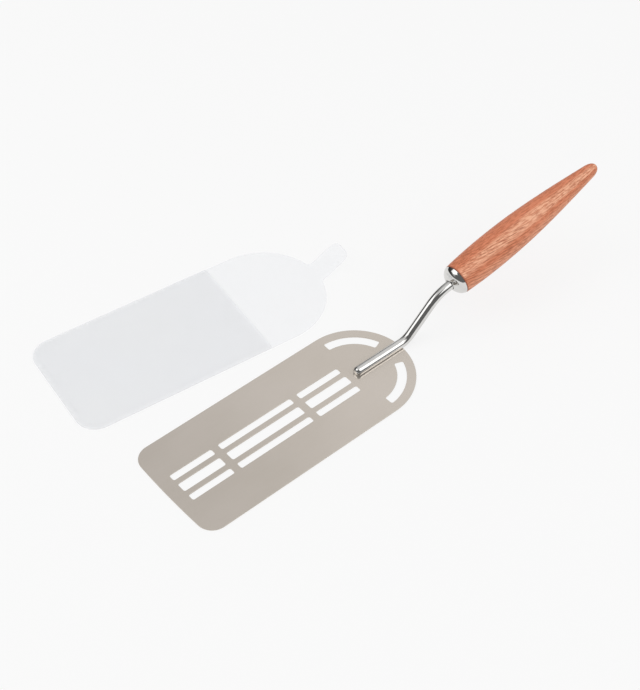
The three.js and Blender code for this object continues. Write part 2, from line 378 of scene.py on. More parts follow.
def grids_mesh(name: str, grids: Sequence[Rows]) -> bpy.types.Mesh:
    """A surface of one or more grids of points.

    Args:
        name: The mesh's name.
        grids: The grids, each a list of rows of equal length.

    Returns:
        The mesh.
    """
    points: List[Vector] = []
    faces: List[Tuple[int, int, int, int]] = []
    for rows in grids:
        start, width = len(points), len(rows[0])
        for r in range(len(rows) - 1):
            for c in range(width - 1):
                corner = start + r * width + c
                faces.append((corner, corner + width, corner + width + 1, corner + 1))
        points.extend(point for row in rows for point in row)
    mesh = bpy.data.meshes.new(name)
    mesh.from_pydata(points, [], faces)
    return mesh


def settle(mesh: bpy.types.Mesh, crease: float) -> bpy.types.Mesh:
    """Welds doubles, turns the faces outwards and shades them.

    Args:
        mesh: The mesh, changed in place.
        crease: Angle past which an edge stays sharp.

    Returns:
        The same mesh.
    """
    work = bmesh.new()
    work.from_mesh(mesh)
    bmesh.ops.remove_doubles(work, verts=work.verts, dist=WELD)
    bmesh.ops.recalc_face_normals(work, faces=work.faces)
    work.to_mesh(mesh)
    work.free()
    mesh.shade_smooth()
    mesh.set_sharp_from_angle(angle=math.radians(crease))
    return mesh


def eased(mesh: bpy.types.Mesh, width: float, crease: float) -> bpy.types.Mesh:
    """Settles a mesh and takes the sharpness off its edges.

    Args:
        mesh: The mesh, which is used up.
        width: How far the easing reaches from an edge.
        crease: Angle past which an edge is eased.

    Returns:
        The new mesh.
    """
    return modified(
        settle(mesh, crease), "BEVEL", width=width, segments=EASE_STEPS, limit_method="ANGLE",
        angle_limit=math.radians(crease), harden_normals=True, use_clamp_overlap=False,
    )


def show(
    name: str, mesh: bpy.types.Mesh, finish: Optional[bpy.types.Material] = None
) -> bpy.types.Object:
    """Puts a mesh in the scene.

    Args:
        name: The object's name.
        mesh: Its mesh, in place.
        finish: Its material, where the mesh has none yet.

    Returns:
        The object, at the origin.
    """
    mesh.name = name
    if finish is not None:
        mesh.materials.clear()
        mesh.materials.append(finish)
    piece = bpy.data.objects.new(name, mesh)
    bpy.context.scene.collection.objects.link(piece)
    return piece


def stand_for(piece: bpy.types.Object, node: str, body: Body) -> None:
    """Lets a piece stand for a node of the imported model.

    Args:
        piece: The finished piece.
        node: The node that it replaces.
        body: The body that it moves with.
    """
    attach(piece, body.value)
    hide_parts(node)
    LOG.info("%s: %d faces, on %s", piece.name, len(piece.data.polygons), body.value)


def bezier(points: Sequence[Vector], steps: int) -> List[Vector]:
    """Points of a Bézier curve after its first one.

    Args:
        points: Its control points, three or four of them.
        steps: Number of points wanted.

    Returns:
        The points, the last one included.
    """
    degree = len(points) - 1
    result = []
    for step in range(1, steps + 1):
        t = step / steps
        weights = (math.comb(degree, k) * t**k * (1 - t) ** (degree - k) for k in range(degree + 1))
        result.append(sum((w * p for w, p in zip(weights, points)), Vector((0.0,) * len(points[0]))))
    return result


def arc(centre: Vector, radius: float, start: float, end: float, steps: int) -> List[Vector]:
    """Points of an arc in the plane.

    Args:
        centre: The arc's centre.
        radius: Its radius.
        start: The angle where it starts.
        end: The angle where it ends.
        steps: Number of steps between the two.

    Returns:
        The points, both ends included.
    """
    result = []
    for step in range(steps + 1):
        angle = math.radians(start + (end - start) * step / steps)
        result.append(centre + radius * Vector((math.cos(angle), math.sin(angle))))
    return result


def direction(azimuth: float, elevation: float) -> Vector:
    """Unit vector in a direction.

    Args:
        azimuth: Angle round from +X towards +Y.
        elevation: Angle above the ground.

    Returns:
        The vector.
    """
    turn, climb = math.radians(azimuth), math.radians(elevation)
    flat = math.cos(climb)
    return Vector((flat * math.cos(turn), flat * math.sin(turn), math.sin(climb)))


def grey(tone: float) -> Colour:
    """A colour of three equal parts."""
    return (tone, tone, tone)


def new_material(name: str) -> Tuple[bpy.types.Material, Graph, Value]:
    """Starts a material.

    Args:
        name: The material's name.

    Returns:
        The material, its empty graph and the object coordinates in it.
    """
    material = bpy.data.materials.new(name)
    material.use_nodes = True
    material.node_tree.nodes.clear()
    graph = Graph(material.node_tree)
    return material, graph, graph.add("ShaderNodeTexCoord").out("Object")


def surface(graph: Graph, inputs: Inputs, height: Value, depth: float, strength: float) -> None:
    """Ends a material in one shader with a fine relief.

    Args:
        graph: The material's graph.
        inputs: The shader's sockets.
        height: The relief, from 0 to 1.
        depth: How deep the relief is.
        strength: How far it turns the light.
    """
    relief = graph.add(
        "ShaderNodeBump", inputs={"Height": height, "Distance": depth, "Strength": strength}
    ).out()
    shader = graph.add("ShaderNodeBsdfPrincipled", inputs={**inputs, "Normal": relief}).out()
    graph.add("ShaderNodeOutputMaterial", inputs={"Surface": shader})


@dataclass(frozen=True)
class SatinSteel:
    """Rolled stainless sheet with a fine, even satin that mirrors most light and scatters the rest."""

    dark: Colour = (0.610, 0.553, 0.490)
    pale: Colour = (0.656, 0.597, 0.538)
    tone_span: Pair = (0.3, 0.7)
    mirror: float = 0.72
    roughness: float = 0.13
    cloud_scale: Scale = (15, 21, 15)
    cloud_detail: float = 3.0
    cloud_gloss: float = 0.06
    grain_scale: Scale = (2400, 2400, 2400)
    line_scale: Scale = (40, 1900, 40)
    line_gloss: float = 0.08
    relief_depth: float = 0.01 * MM
    relief_strength: float = 0.12

    def material(self) -> bpy.types.Material:
        """Makes the material: cloudy tone, fine grain and faint rolling lines along the blade.

        Returns:
            The material.
        """
        material, graph, place = new_material("satin_steel")
        cloud = graph.noise(place, self.cloud_scale, self.cloud_detail)
        grain = graph.noise(place, self.grain_scale)
        lines = graph.noise(place, self.line_scale)
        tone = graph.ease(0.7 * cloud + 0.15 * grain + 0.15 * lines, *self.tone_span)
        dulling = self.cloud_gloss * (cloud - NOISE_MEAN)
        inputs = {
            "Base Color": graph.mix(tone, self.dark, self.pale),
            "Metallic": self.mirror,
            "Roughness": self.roughness + dulling + self.line_gloss * (lines - NOISE_MEAN),
        }
        surface(graph, inputs, 0.6 * grain + 0.4 * lines, self.relief_depth, self.relief_strength)
        return material


@dataclass(frozen=True)
class PolishedSteel:
    """Bright polished stainless steel with the last traces of the buff."""

    tone: Colour = (0.720, 0.712, 0.695)
    haze: Colour = (0.665, 0.655, 0.640)
    roughness: float = 0.05
    haze_scale: Scale = (150, 150, 150)
    haze_detail: float = 3.0
    haze_span: Pair = (0.35, 0.7)
    dull_span: Pair = (0.45, 0.75)
    dull_gloss: float = 0.05
    hair_scale: Scale = (5200, 300, 300)
    hair_gloss: float = 0.03
    relief_depth: float = 0.004 * MM
    relief_strength: float = 0.06

    def material(self) -> bpy.types.Material:
        """Makes the material: a mirror with faint haze, and hairlines round the rod.

        Returns:
            The material.
        """
        material, graph, place = new_material("polished_steel")
        haze = graph.noise(place, self.haze_scale, self.haze_detail)
        hairs = graph.noise(place, self.hair_scale)
        dulling = self.dull_gloss * graph.ease(haze, *self.dull_span)
        inputs = {
            "Base Color": graph.mix(graph.ease(haze, *self.haze_span), self.tone, self.haze),
            "Metallic": 1.0,
            "Roughness": self.roughness + dulling + self.hair_gloss * (hairs - NOISE_MEAN),
        }
        surface(graph, inputs, hairs, self.relief_depth, self.relief_strength)
        return material


@dataclass(frozen=True)
class RedWood:
    """Reddish hardwood, oiled, with fine lines that run out of the handle's side near the ferrule.

    The sides are directions across the handle, as shares across and up. Each span is where a soft step
    starts and where it is full. The pale band along the upper side is a painted highlight, and the paler,
    pinker lower side is painted rim light.
    """

    axis_start: Tuple[float, float, float]
    tilt: float
    red: Colour = (0.645, 0.162, 0.064)
    # Painted rim light: the paler pink that the handle's lower side turns towards.
    rim_light_pink: Colour = (0.715, 0.276, 0.150)
    # Pale wood for the grain's light streaks, and mostly for the painted highlight band along the upper
    # side.
    pale: Colour = (0.950, 0.540, 0.340)
    deep: Colour = (0.385, 0.120, 0.046)
    pore: Colour = (0.330, 0.085, 0.038)
    # Painted highlight: the side of the handle where a pale band stands in for the softbox's sheen.
    painted_highlight_side: Pair = (-0.489, 0.871)
    painted_highlight_span: Pair = (0.88, 1.0)
    # Side of the painted rim light, towards -Y and down. The grain's layers are also counted in this
    # direction.
    rim_light_side: Pair = (-0.84, -0.54)
    rim_light_span: Pair = (0.35, 0.85)
    runout: Pair = (0.17, 0.19)
    straight_from: float = 110 * MM
    axis_guard: float = 0.01 * MM
    figure_scale: Scale = (9, 120, 120)
    figure_detail: float = 3.0
    figure_rough: float = 0.6
    fine_detail: float = 1.0
    fleck_scale: Scale = (200, 1350, 1350)
    fleck_span: Pair = (0.40, 0.58)
    streak_span: Pair = (0.38, 0.58)
    patch_scale: Scale = (22, 75, 75)
    patch_span: Pair = (0.40, 0.60)
    pore_scale: Scale = (90, 1700, 1700)
    pore_span: Pair = (0.62, 0.72)
    pore_share: float = 0.6
    layer: float = 1.6 * MM
    layer_wander: float = 2.0
    line_start: Pair = (0.45, 0.75)
    line_end: Pair = (0.80, 0.98)
    seam: float = 1.1 * MM
    seam_start: float = 0.3
    seam_share: float = 0.75
    roughness: float = 0.40
    specular: float = 0.45
    relief_depth: float = 0.09 * MM
    relief_strength: float = 0.5

    @staticmethod
    def towards(side: Pair, across: Value, up: Value) -> Value:
        """How far a place lies towards a side."""
        return side[0] * across + side[1] * up

    def lines(self, graph: Graph, depth: Value, figure: Value, patch: Value) -> Value:
        """Lines where the wood's layers come to the surface.

        Args:
            graph: The material's graph.
            depth: How deep in the layers a place is.
            figure: Slow noise that bends the layers.
            patch: Where the lines are strong, from 0 to 1.

        Returns:
            1 on a line and 0 between the lines.
        """
        ring = graph.math("FRACT", depth / self.layer + self.layer_wander * figure)
        line = graph.ease(ring, *self.line_start) * (1 - graph.ease(ring, *self.line_end))
        return line * (0.4 + 0.6 * patch)

    def material(self) -> bpy.types.Material:
        """Makes the material in coordinates that follow the grain along the handle's own axis.

        Returns:
            The material.
        """
        material, graph, place = new_material("red_wood")
        turned = graph.add(
            "ShaderNodeMapping",
            {"vector_type": "TEXTURE"},
            {"Vector": place, "Location": self.axis_start, "Rotation": (0.0, -self.tilt, 0.0)},
        ).out()
        along, across, up = graph.parts(turned)
        radius = graph.math("SQRT", across * across + up * up) + self.axis_guard
        # How far a place faces the side of the painted highlight.
        highlight_facing = self.towards(self.painted_highlight_side, across, up) / radius
        # How far a place faces the side of the painted rim light.
        rim_light_facing = self.towards(self.rim_light_side, across, up) / radius

        drift = along * (1 - along / (2 * self.straight_from))
        across, up = across + self.runout[0] * drift, up + self.runout[1] * drift
        grain = graph.joined(along, across, up)
        figure = graph.noise(grain, self.figure_scale, self.figure_detail, self.figure_rough)
        fleck = graph.noise(grain, self.fleck_scale, self.fine_detail)
        patch = graph.ease(graph.noise(grain, self.patch_scale, self.fine_detail), *self.patch_span)
        pores = graph.ease(graph.noise(grain, self.pore_scale, self.fine_detail), *self.pore_span)
        line = self.lines(graph, self.towards(self.rim_light_side, across, up), figure, patch)
        streak = graph.ease(0.8 * fleck + 0.2 * figure, *self.streak_span)
        # Painted highlight: mask of the pale band along the handle's upper side.
        painted_highlight = graph.ease(highlight_facing + 0.15 * (figure - NOISE_MEAN), *self.painted_highlight_span)
        rim_light_share = graph.ease(rim_light_facing + 0.6 * (figure - NOISE_MEAN), *self.rim_light_span)
        edge = 1 - graph.ease(along, self.seam_start * self.seam, self.seam)

        # Painted rim light: paler, pinker wood on the lower side towards -Y.
        wood = graph.mix(rim_light_share, self.red, self.rim_light_pink)
        # Light grain streaks everywhere, and inside the painted highlight band much more of the pale
        # colour and less dark streaking.
        wood = graph.mix((0.5 + 0.5 * streak) * (0.16 + 0.60 * painted_highlight), wood, self.pale)
        wood = graph.mix((0.48 - 0.48 * streak) * (1 - 0.4 * painted_highlight), wood, self.deep)
        wood = graph.mix(line * (0.9 - 0.5 * graph.ease(fleck, *self.fleck_span)), wood, self.deep)
        wood = graph.mix(self.pore_share * pores, wood, self.pore)
        wood = graph.mix(self.seam_share * edge, wood, self.pore)
        inputs = {
            "Base Color": wood,
            "Roughness": self.roughness + 0.16 * fleck + 0.15 * pores,
            "Specular IOR Level": self.specular,
        }
        height = 0.5 * fleck - 0.3 * line - 0.8 * pores
        surface(graph, inputs, height, self.relief_depth, self.relief_strength)
        return material


@dataclass(frozen=True)
class FrostedSheet:
    """Soft plastic sheet, milky and see-through, with a fine matt face."""

    milk: Colour = (0.830, 0.850, 0.892)
    paler_milk: Colour = (0.865, 0.880, 0.908)
    milk_span: Pair = (0.3, 0.7)
    cover: float = 0.16
    roughness: float = 0.42
    cloud_scale: Scale = (16, 22, 16)
    cloud_detail: float = 3.0
    cloud_cover: float = 0.05
    frost_scale: Scale = (1500, 1500, 1500)
    frost_cover: float = 0.03
    frost_gloss: float = 0.12
    ripple_scale: Scale = (45, 45, 45)
    relief_depth: float = 0.05 * MM
    relief_strength: float = 0.15

    def material(self) -> bpy.types.Material:
        """Makes the material: slightly uneven milkiness and a fine frosted relief.

        Returns:
            The material.
        """
        material, graph, place = new_material("frosted_sheet")
        cloud = graph.noise(place, self.cloud_scale, self.cloud_detail)
        frost = graph.noise(place, self.frost_scale)
        ripple = graph.noise(place, self.ripple_scale)
        unevenness = self.cloud_cover * (cloud - NOISE_MEAN)
        inputs = {
            "Base Color": graph.mix(graph.ease(cloud, *self.milk_span), self.milk, self.paler_milk),
            "Roughness": self.roughness + self.frost_gloss * (frost - NOISE_MEAN),
            "Alpha": self.cover + unevenness + self.frost_cover * (frost - NOISE_MEAN),
        }
        surface(graph, inputs, 0.7 * ripple + 0.3 * frost, self.relief_depth, self.relief_strength)
        return material


@dataclass
class Blade:
    """Flat plate with a bowed front, a round rear, three rows of slots and two curved slots."""

    width: float = 76 * MM
    straight: float = 144.5 * MM
    thickness: float = 0.6 * MM
    front_corner: float = 11 * MM
    front_bow: float = 0.6 * MM
    edge_ease: float = 0.09 * MM
    slot_front_margin: float = 9.3 * MM
    slot_rear_margin: float = 5.5 * MM
    front_slot: float = 30.8 * MM
    rear_slot: float = 32.9 * MM
    bridge: float = 5 * MM
    middle_width: float = 6.8 * MM
    side_width: float = 4.7 * MM
    land: float = 3.55 * MM
    slot_corner: float = 1.2 * MM
    curved_rim: float = 5.8 * MM
    curved_width: float = 6 * MM
    curved_start: float = 19.5
    curved_end: float = 87.0
    crease: float = 60.0
    rear_steps: int = 72
    corner_steps: int = 18
    bow_steps: int = 16
    slot_corner_steps: int = 7
    curved_cuts: int = 12

    def outline(self) -> List[Vector]:
        """The plate's edge.

        Returns:
            A closed run of points.
        """
        half, corner = self.width / 2, self.front_corner
        edge = self.front_bow - self.straight
        bow = [
            Vector((edge, half - corner)),
            Vector((-self.straight - self.front_bow, 0.0)),
            Vector((edge, corner - half)),
        ]
        points = arc(Vector((0.0, 0.0)), half, -90, 90, self.rear_steps)
        points += arc(Vector((edge + corner, half - corner)), corner, 90, 180, self.corner_steps)
        points += bezier(bow, self.bow_steps)
        points += arc(Vector((edge + corner, corner - half)), corner, 180, 270, self.corner_steps)[1:]
        return [point.to_3d() for point in points]

    def columns(self) -> List[Pair]:
        """The columns of straight slots.

        Returns:
            Start and length of each column, from the front.
        """
        front, rear = self.slot_front_margin - self.straight, -self.slot_rear_margin
        middle_start = front + self.front_slot + self.bridge
        rear_start = rear - self.rear_slot
        return [
            (front, self.front_slot),
            (middle_start, rear_start - self.bridge - middle_start),
            (rear_start, self.rear_slot),
        ]

    def slot_edge(self, shape: ShapeTree, length: Value, width: Value, corner: Value) -> Value:
        """One slot's edge about the origin.

        Args:
            shape: The tree that it is made in.
            length: The slot's length.
            width: Its width.
            corner: The radius of its corners.

        Returns:
            The edge as a closed curve.
        """
        plain = shape.graph.add(
            "GeometryNodeCurvePrimitiveQuadrilateral", inputs={"Width": length, "Height": width}
        ).out()
        return shape.graph.add(
            "GeometryNodeFilletCurve", {"mode": "POLY"},
            {"Curve": plain, "Count": self.slot_corner_steps, "Radius": corner, "Limit Radius": True},
        ).out()

    def straight_slots(self, shape: ShapeTree, corner: Value) -> List[Value]:
        """The slots in three rows: in each column one in the middle and a pair beside it.

        Args:
            shape: The tree that they are made in.
            corner: The radius of their corners.

        Returns:
            Their edges.
        """
        graph = shape.graph
        middle_width, side_width = shape.input("Middle Slot Width"), shape.input("Side Slot Width")
        row = shape.input("Side Row")
        rows = ((middle_width, 0.0, 0.0, 1), (side_width, 0 - row, 2 * row, 2))
        edges = []
        for name in SLOT_COLUMNS:
            start, length = shape.input(f"{name} Slot Start"), shape.input(f"{name} Slot Length")
            centre = start + 0.5 * length
            for width, first, pitch, count in rows:
                line = graph.add("GeometryNodeMeshLine", inputs={
                    "Count": count,
                    "Start Location": graph.joined(centre, first, 0.0),
                    "Offset": graph.joined(0.0, pitch, 0.0),
                }).out()
                edge = self.slot_edge(shape, length, width, corner)
                edges.append(graph.add(
                    "GeometryNodeInstanceOnPoints", inputs={"Points": line, "Instance": edge}
                ).out())
        return edges

    def curved_slots(self, shape: ShapeTree, corner: Value) -> List[Value]:
        """The two slots that follow the round rear, each a straight slot bent about the origin.

        Args:
            shape: The tree that they are made in.
            corner: The radius of their corners.

        Returns:
            Their edges.
        """
        graph = shape.graph
        radius, width = shape.input("Curved Slot Radius"), shape.input("Curved Slot Width")
        start, sweep = shape.input("Curved Slot Start"), shape.input("Curved Slot Sweep")
        straight = self.slot_edge(shape, radius * sweep, width, corner)
        fine = graph.add(
            "GeometryNodeSubdivideCurve", inputs={"Curve": straight, "Cuts": self.curved_cuts}
        ).out()
        x, y, _ = graph.parts(shape.position())
        reach = radius + y
        edges = []
        for side in (1.0, -1.0):
            angle = side * (start + 0.5 * sweep + x / radius)
            bent = graph.joined(
                reach * graph.math("COSINE", angle), reach * graph.math("SINE", angle), 0.0
            )
            edges.append(shape.place(fine, bent))
        return edges

    def tree(self) -> ShapeTree:
        """The rule for the plate: its outline filled round the slots, and given a thickness.

        Returns:
            The tree, whose source is the outline.
        """
        shape = ShapeTree("slotted_plate")
        graph = shape.graph
        thickness, corner = shape.input("Thickness"), shape.input("Slot Corner")
        edges = [graph.add("GeometryNodeMeshToCurve", inputs={0: shape.source}).out()]
        edges += self.straight_slots(shape, corner)
        edges += self.curved_slots(shape, corner)
        joined = graph.add("GeometryNodeJoinGeometry", inputs={0: edges}).out()
        real = graph.add("GeometryNodeRealizeInstances", inputs={0: joined}).out()
        face = graph.add("GeometryNodeFillCurve", {"mode": "NGONS"}, {"Curve": real}).out()
        raised = graph.add("GeometryNodeExtrudeMesh", inputs={
            "Mesh": face,
            "Offset": graph.joined(0.0, 0.0, 1.0),
            "Offset Scale": thickness,
            "Individual": False,
        }).out()
        under = graph.add("GeometryNodeFlipFaces", inputs={0: face}).out()
        shape.close(shape.weld(graph.add("GeometryNodeJoinGeometry", inputs={0: [raised, under]}).out()))
        return shape

    def build(self, finish: bpy.types.Material) -> bpy.types.Object:
        """Makes the blade.

        Args:
            finish: Its material.

        Returns:
            The finished piece.
        """
        values = {
            "Thickness": self.thickness,
            "Slot Corner": self.slot_corner,
            "Middle Slot Width": self.middle_width,
            "Side Slot Width": self.side_width,
            "Side Row": (self.middle_width + self.side_width) / 2 + self.land,
            "Curved Slot Radius": self.width / 2 - self.curved_rim - self.curved_width / 2,
            "Curved Slot Width": self.curved_width,
            "Curved Slot Start": math.radians(self.curved_start),
            "Curved Slot Sweep": math.radians(self.curved_end - self.curved_start),
            "Finish": finish,
        }
        for name, (start, length) in zip(SLOT_COLUMNS, self.columns()):
            values[f"{name} Slot Start"] = start
            values[f"{name} Slot Length"] = length
        mesh = self.tree().run(line_mesh("blade_outline", self.outline(), closed=True), values)
        return show("blade_plate", eased(mesh, self.edge_ease, self.crease))

    def dress(self, piece: bpy.types.Object) -> None:
        """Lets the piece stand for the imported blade."""
        stand_for(piece, "blade", Body.SPATULA)


@dataclass
class Shank:
    """Rod that lies on the blade along a flat, rises in a crank and runs into the handle."""

    blade_rear: float
    blade_top: float
    tilt: float
    diameter: float = 6.35 * MM
    lap: float = 38 * MM
    end_round: float = 2.5 * MM
    seat: float = 1.65 * MM
    overhang: float = 4.85 * MM
    rise: float = 34.6 * MM
    rise_angle: float = 43.0
    lower_bend: float = 13 * MM
    upper_bend: float = 27 * MM
    neck: float = 17.1 * MM
    tang: float = 45 * MM
    sides: int = 72
    end_steps: int = 10
    bend_steps: int = 28
    lap_stops: Tuple[float, ...] = (0.3, 0.6, 0.9)
    rise_stops: Tuple[float, ...] = (0.33, 0.67)

    @staticmethod
    def along(start: Vector, distance: float, angle: float) -> Vector:
        """A point past another, in a direction that climbs by an angle in radians."""
        return start + distance * Vector((math.cos(angle), 0.0, math.sin(angle)))

    @property
    def height(self) -> float:
        """Height of the rod's axis over the ground where it lies on the blade."""
        return self.blade_top + self.diameter / 2 - self.seat

    @property
    def front(self) -> float:
        """Where the rod's front end is, along the blade."""
        return self.blade_rear - self.lap

    @property
    def corners(self) -> Tuple[Vector, Vector]:
        """Where the axis's straight stretches would meet."""
        lower = Vector((self.blade_rear + self.overhang, 0.0, self.height))
        return lower, self.along(lower, self.rise, math.radians(self.rise_angle))

    @property
    def shoulder(self) -> Vector:
        """Where the rod goes into the wood."""
        return self.along(self.corners[1], self.neck, self.tilt)

    def route(self) -> List[Vector]:
        """The rod's axis.

        Returns:
            Its points, close together at the round rim of the end and in the bends.
        """
        climb = math.radians(self.rise_angle)
        lower, upper = self.corners
        low_reach = self.lower_bend * math.tan(climb / 2)
        high_reach = self.upper_bend * math.tan((climb - self.tilt) / 2)
        low_start, low_end = self.along(lower, -low_reach, 0.0), self.along(lower, low_reach, climb)
        high_start = self.along(upper, -high_reach, climb)
        high_end = self.along(upper, high_reach, self.tilt)

        front = Vector((self.front, 0.0, self.height))
        turns = [math.pi / 2 * step / self.end_steps for step in range(self.end_steps + 1)]
        points = [front + Vector((self.end_round * (1 - math.cos(turn)), 0.0, 0.0)) for turn in turns]
        points += [front + Vector((self.lap * share, 0.0, 0.0)) for share in self.lap_stops]
        points.append(low_start)
        points += bezier([low_start, lower, low_end], self.bend_steps)
        points += [low_end.lerp(high_start, share) for share in self.rise_stops]
        points.append(high_start)
        points += bezier([high_start, upper, high_end], self.bend_steps)
        points += [self.shoulder, self.along(self.shoulder, self.tang, self.tilt)]
        return points

    def tree(self) -> ShapeTree:
        """The rule for the rod: a bar along its route, round-rimmed in front and flat on its seat.

        Returns:
            The tree, whose source is the route.
        """
        shape = ShapeTree("cranked_rod")
        graph = shape.graph
        radius, rounding = shape.input("Radius"), shape.input("End Round")
        front, seat = shape.input("Front"), shape.input("Seat")
        route = graph.add("GeometryNodeMeshToCurve", inputs={0: shape.source}).out()
        x, _, _ = graph.parts(shape.position())
        past = graph.math("MINIMUM", x - front, rounding)
        bulge = graph.math("SQRT", past * (2 * rounding - past))
        share = (radius - rounding + bulge) / radius
        ring = graph.add(
            "GeometryNodeCurvePrimitiveCircle", inputs={"Resolution": self.sides, "Radius": radius}
        ).out()
        bar = graph.add("GeometryNodeCurveToMesh", inputs={
            "Curve": route, "Profile Curve": ring, "Scale": share, "Fill Caps": True,
        }).out()
        x, y, z = graph.parts(shape.position())
        shape.close(shape.place(bar, graph.joined(x, y, graph.math("MAXIMUM", z, seat))))
        return shape

    def build(self, finish: bpy.types.Material) -> bpy.types.Object:
        """Makes the rod.

        Args:
            finish: Its material.

        Returns:
            The finished piece.
        """
        mesh = self.tree().run(line_mesh("rod_route", self.route()), {
            "Radius": self.diameter / 2,
            "End Round": self.end_round,
            "Front": self.front,
            "Seat": self.blade_top,
            "Finish": finish,
        })
        return show("cranked_rod", settle(mesh, TURNED_CREASE))

    def dress(self, piece: bpy.types.Object) -> None:
        """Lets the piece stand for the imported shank."""
        stand_for(piece, "shank", Body.SPATULA)


@dataclass
class Grip:
    """Ferrule and turned handle on the tilted axis that starts at the shoulder."""

    shoulder: Vector
    tilt: float
    rod_radius: float
    tang: float
    shoulder_radius: float = 10.2 * MM
    ferrule_length: float = 6 * MM
    front_slope: float = 67.0
    rear_slope: float = 26.0
    front_pull: float = 0.4
    rear_pull: float = 0.27
    ferrule_rim: float = 2.6 * MM
    tenon: float = 2 * MM
    length: float = 127.5 * MM
    belly_radius: float = 11.45 * MM
    belly_place: float = 31.2 * MM
    tip_radius: float = 4.7 * MM
    tip_length: float = 6.8 * MM
    tip_slope: float = 0.121
    belly_pull: float = 0.28
    taper_pull: float = 0.5
    tip_pull: float = 0.6
    fit: float = 0.25 * MM
    edge_ease: float = 0.2 * MM
    edge_slope: float = 0.1
    sides: int = 128
    bell_steps: int = 48
    edge_steps: int = 4
    belly_steps: int = 24
    taper_steps: int = 48
    tip_steps: int = 24

    def ferrule_profile(self) -> List[Vector]:
        """Closed half-section of the bell-shaped ferrule.

        Returns:
            Its points, as distance along the axis and radius.
        """
        bore, cup = self.rod_radius + self.fit, self.shoulder_radius - self.ferrule_rim
        rim, back, front = self.shoulder_radius, -self.fit, -self.ferrule_length
        lead, trail = self.front_pull * self.ferrule_length, self.rear_pull * self.ferrule_length
        bell = [
            Vector((front, bore)),
            Vector((front + lead, bore + lead * math.tan(math.radians(self.front_slope)))),
            Vector((back - trail, rim - trail * math.tan(math.radians(self.rear_slope)))),
            Vector((back, rim)),
        ]
        ease, floor = self.edge_ease, -self.tenon - self.fit
        points = bezier(bell, self.bell_steps)[:-1]
        points += bezier([points[-1], bell[-1], Vector((back, rim - ease))], self.edge_steps)
        points += [Vector((back, cup)), Vector((floor, cup)), Vector((floor, bore))]
        points.append(Vector((front + ease, bore)))
        points += bezier([points[-1], bell[0], points[0]], self.edge_steps)
        return points

    def handle_profile(self) -> List[Vector]:
        """Half-section of the handle from the bottom of its bore to the tip.

        Returns:
            Its points, as distance along the axis and radius.
        """
        bore = self.rod_radius + self.fit
        tenon_radius = self.shoulder_radius - self.ferrule_rim - self.fit
        tip_start = self.length - self.tip_length
        taper = tip_start - self.belly_place
        rim, belly, tip = self.shoulder_radius, self.belly_radius, self.tip_radius
        ease = self.edge_ease
        points = [
            Vector((self.tang + self.fit, 0.0)),
            Vector((self.tang + self.fit, bore)),
            Vector((-self.tenon, bore)),
            Vector((-self.tenon, tenon_radius)),
            Vector((0.0, tenon_radius)),
            Vector((0.0, rim - ease)),
        ]
        points += bezier([
            points[-1], Vector((0.0, rim)), Vector((ease, rim + self.edge_slope * ease)),
        ], self.edge_steps)
        points += bezier([
            points[-1], Vector((self.belly_place / 2, belly)), Vector((self.belly_place, belly)),
        ], self.belly_steps)
        points += bezier([
            points[-1],
            Vector((self.belly_place + self.belly_pull * taper, belly)),
            Vector((tip_start - self.taper_pull * taper, tip + self.taper_pull * taper * self.tip_slope)),
            Vector((tip_start, tip)),
        ], self.taper_steps)
        points += bezier([
            points[-1],
            Vector((tip_start + self.tip_length / 2, tip - self.tip_slope * self.tip_length / 2)),
            Vector((self.length, self.tip_pull * tip)),
            Vector((self.length, 0.0)),
        ], self.tip_steps)
        return points

    def tree(self) -> ShapeTree:
        """The rule for a turned piece: every point of the half-section carried round the axis.

        Returns:
            The tree, whose source is the half-section.
        """
        shape = ShapeTree("turned_piece")
        graph = shape.graph
        sides, stations = shape.input("Sides", "NodeSocketInt"), shape.input("Stations", "NodeSocketInt")
        start, tilt = shape.input("Axis Start", "NodeSocketVector"), shape.input("Tilt")
        sheet = graph.add(
            "GeometryNodeMeshGrid", inputs={"Vertices X": sides + 1.0, "Vertices Y": stations}
        ).out()
        index = graph.add("GeometryNodeInputIndex").out()
        section = graph.add("GeometryNodeSampleIndex", {"data_type": "FLOAT_VECTOR"}, {
            "Geometry": shape.source,
            "Value": shape.position(),
            "Index": index % stations,
        }).out()
        along, radius, _ = graph.parts(section)
        turn = graph.math("FLOOR", index / stations) / sides * math.tau
        ring = graph.joined(
            along, radius * graph.math("COSINE", turn), radius * graph.math("SINE", turn)
        )
        turned = graph.add("GeometryNodeTransform", inputs={
            "Geometry": shape.place(sheet, ring),
            "Translation": start,
            "Rotation": graph.joined(0.0, 0 - tilt, 0.0),
        }).out()
        shape.close(shape.weld(turned))
        return shape

    def turned(
        self, name: str, profile: Sequence[Vector], finish: bpy.types.Material
    ) -> bpy.types.Object:
        """Turns one piece.

        Args:
            name: The piece's name.
            profile: Its half-section.
            finish: Its material.

        Returns:
            The finished piece.
        """
        mesh = self.tree().run(line_mesh(name, [point.to_3d() for point in profile]), {
            "Sides": self.sides,
            "Stations": len(profile),
            "Axis Start": self.shoulder,
            "Tilt": self.tilt,
            "Finish": finish,
        })
        return show(name, settle(mesh, TURNED_CREASE))

    def build(self, steel: bpy.types.Material, wood: bpy.types.Material) -> List[bpy.types.Object]:
        """Makes the ferrule and the handle.

        Args:
            steel: The ferrule's material.
            wood: The handle's material.

        Returns:
            The two finished pieces.
        """
        return [
            self.turned("collar", self.ferrule_profile(), steel),
            self.turned("turned_handle", self.handle_profile(), wood),
        ]

    def dress(self, collar: bpy.types.Object, handle: bpy.types.Object) -> None:
        """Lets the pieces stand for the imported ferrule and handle."""
        stand_for(collar, "ferrule", Body.SPATULA)
        stand_for(handle, "handle", Body.SPATULA)


